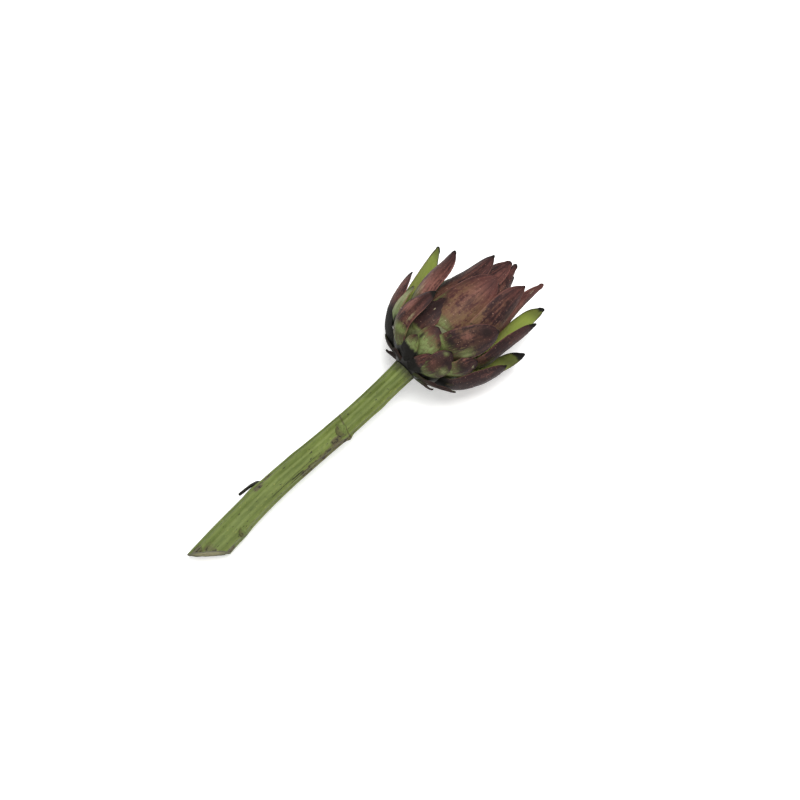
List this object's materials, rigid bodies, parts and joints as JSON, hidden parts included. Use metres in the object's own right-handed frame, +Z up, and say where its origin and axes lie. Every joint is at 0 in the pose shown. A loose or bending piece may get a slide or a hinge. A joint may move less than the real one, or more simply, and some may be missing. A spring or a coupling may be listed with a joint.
{
  "type": "artichoke",
  "caption": "Purple globe artichoke head with pointed overlapping bracts on a long ribbed green stem, lying on its side; the stem ends in a slanted knife cut.",
  "frame": {"origin": "on the surface it lies on, under the middle of its length and width", "axes": "+X along the artichoke from the cut end of the stem towards the tips of the head, +Z up"},
  "size_m": [0.3074, 0.1019, 0.08],
  "materials": {
    "bract": "waxy leaf skin, purple brown fading to green at the base, with dark dry tips",
    "stem": "matt ribbed green skin with dark flecks, and a pale fibrous cut end"
  },
  "bodies": {
    "root": {"head": "bract", "stem": "stem"}
  },
  "joints": []
}
